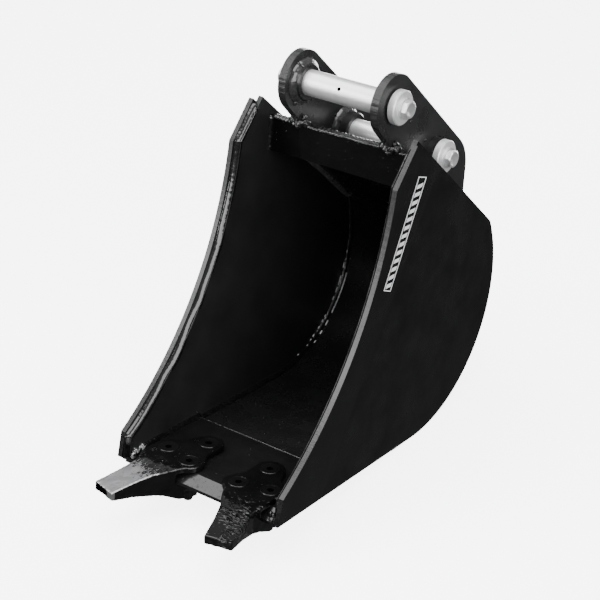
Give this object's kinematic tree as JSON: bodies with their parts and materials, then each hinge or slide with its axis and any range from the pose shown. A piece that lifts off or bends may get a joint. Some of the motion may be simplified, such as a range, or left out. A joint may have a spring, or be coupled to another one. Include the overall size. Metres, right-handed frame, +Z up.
{
  "type": "backhoe bucket",
  "caption": "Narrow welded digging bucket with curved side cutters, bolt-on teeth on a bevelled lip, and an ear bracket with dipper and link pins held by bolted end caps.",
  "frame": {"origin": "centre of the dipper pin, midway between the ears", "axes": "+X to the right seen from the front, along both pins; +Y to the rear, away from the teeth; +Z up, square to the floor of the bucket"},
  "size_m": [0.2302, 0.5013, 0.4797],
  "materials": {
    "black_paint": "gloss",
    "painted_weld": "gloss",
    "worn_tooth": "worn",
    "zinc_steel": "satin",
    "dark_bolt": "satin",
    "seal_rubber": "matte"
  },
  "bodies": {
    "shell": {"left_side_plate": "black_paint", "right_side_plate": "black_paint", "left_side_cutter": "black_paint", "right_side_cutter": "black_paint", "rolled_sheet": "black_paint", "lip": "black_paint", "top_beam": "black_paint", "left_ear": "black_paint", "right_ear": "black_paint", "left_dipper_boss": "black_paint", "right_dipper_boss": "black_paint", "left_link_boss": "black_paint", "right_link_boss": "black_paint", "left_cutter_weld": "painted_weld", "right_cutter_weld": "painted_weld", "ear_welds": "painted_weld", "boss_welds": "painted_weld", "beam_welds": "painted_weld", "left_heel_weld": "painted_weld", "right_heel_weld": "painted_weld", "floor_seam_weld": "painted_weld", "left_tooth": "worn_tooth", "right_tooth": "worn_tooth", "left_tooth_bolts": "dark_bolt", "right_tooth_bolts": "dark_bolt", "tooth_washers": "dark_bolt", "tooth_nuts": "dark_bolt"},
    "dipper_pin_set": {"dipper_pin": "zinc_steel", "left_dipper_cap": "zinc_steel", "right_dipper_cap": "zinc_steel", "dipper_cap_bolts": "zinc_steel", "dipper_cap_washers": "zinc_steel", "dipper_seals": "seal_rubber"},
    "link_pin_set": {"link_pin": "zinc_steel", "left_link_cap": "zinc_steel", "right_link_cap": "zinc_steel", "link_cap_bolts": "zinc_steel", "link_cap_washers": "zinc_steel", "link_seals": "seal_rubber"}
  },
  "joints": [
    {"name": "dipper_pin_turn", "type": "hinge", "parent": "shell", "child": "dipper_pin_set", "pos_m": [0, 0, 0], "axis": [1, 0, 0], "continuous": true},
    {"name": "link_pin_turn", "type": "hinge", "parent": "shell", "child": "link_pin_set", "pos_m": [0, 0.08895, -0.07814], "axis": [1, 0, 0], "continuous": true}
  ]
}
